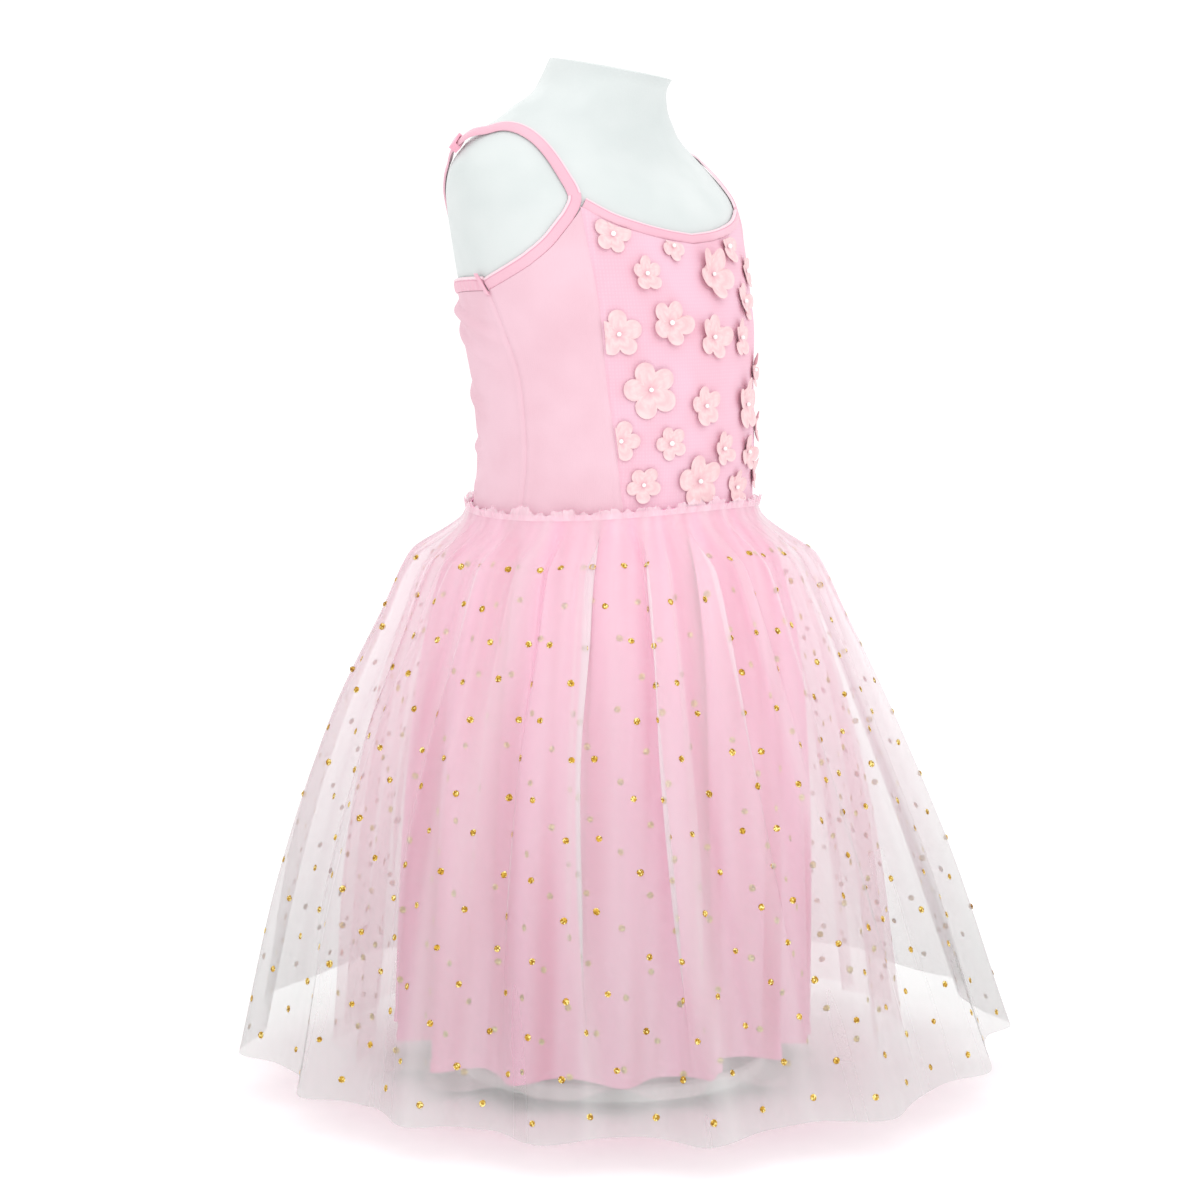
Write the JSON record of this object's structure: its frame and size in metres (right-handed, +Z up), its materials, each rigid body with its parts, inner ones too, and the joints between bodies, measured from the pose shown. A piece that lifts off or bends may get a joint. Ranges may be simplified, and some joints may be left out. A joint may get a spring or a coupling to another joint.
{
  "type": "child's princess dress on a limbless dress form",
  "caption": "Sleeveless child's dress with thin straps, flower-trimmed bodice and full layered tulle skirt, standing on a white dress form.",
  "frame": {"origin": "middle of the underside of the stand's round base", "axes": "+Z up through the neck of the form; the front of the dress faces -Y; the wearer's left is +X"},
  "size_m": [0.4962, 0.4978, 0.65],
  "materials": {
    "jersey": "matt knitted stretch jersey",
    "front_panel": "jersey under a sheer overlay, slightly lilac",
    "binding": "folded stretch binding with one row of stitching",
    "satin": "light satin, soft sheen",
    "tulle_inner": "sheer pale pink tulle",
    "tulle_outer": "sheer white tulle with gold glitter dots",
    "petal": "thin satin petals, shell pink",
    "slider": "coated strap slider",
    "form": "smooth white shell",
    "stand": "white paint"
  },
  "bodies": {
    "root": {"front_panel": "front_panel", "side_front_right": "jersey", "side_front_left": "jersey", "back_panel": "jersey", "neck_binding": "binding", "back_binding": "binding", "strap_right": "binding", "strap_left": "binding", "strap_slider_right": "slider", "strap_slider_left": "slider", "side_tab_right": "binding", "side_tab_left": "binding", "skirt_lining_front": "satin", "skirt_lining_right": "satin", "skirt_lining_back": "satin", "skirt_lining_left": "satin", "skirt_tulle_inner_front": "tulle_inner", "skirt_tulle_inner_right": "tulle_inner", "skirt_tulle_inner_back": "tulle_inner", "skirt_tulle_inner_left": "tulle_inner", "skirt_tulle_outer_front": "tulle_outer", "skirt_tulle_outer_right": "tulle_outer", "skirt_tulle_outer_back": "tulle_outer", "skirt_tulle_outer_left": "tulle_outer", "flower_01": "petal", "flower_02": "petal", "flower_03": "petal", "flower_04": "petal", "flower_05": "petal", "flower_06": "petal", "flower_07": "petal", "flower_08": "petal", "flower_09": "petal", "flower_10": "petal", "flower_11": "petal", "flower_12": "petal", "flower_13": "petal", "flower_14": "petal", "flower_15": "petal", "flower_16": "petal", "flower_17": "petal", "flower_18": "petal", "flower_19": "petal", "flower_20": "petal", "flower_21": "petal", "flower_22": "petal", "flower_23": "petal", "flower_24": "petal", "form_torso": "form", "form_pole": "stand", "form_base": "stand"}
  },
  "joints": []
}
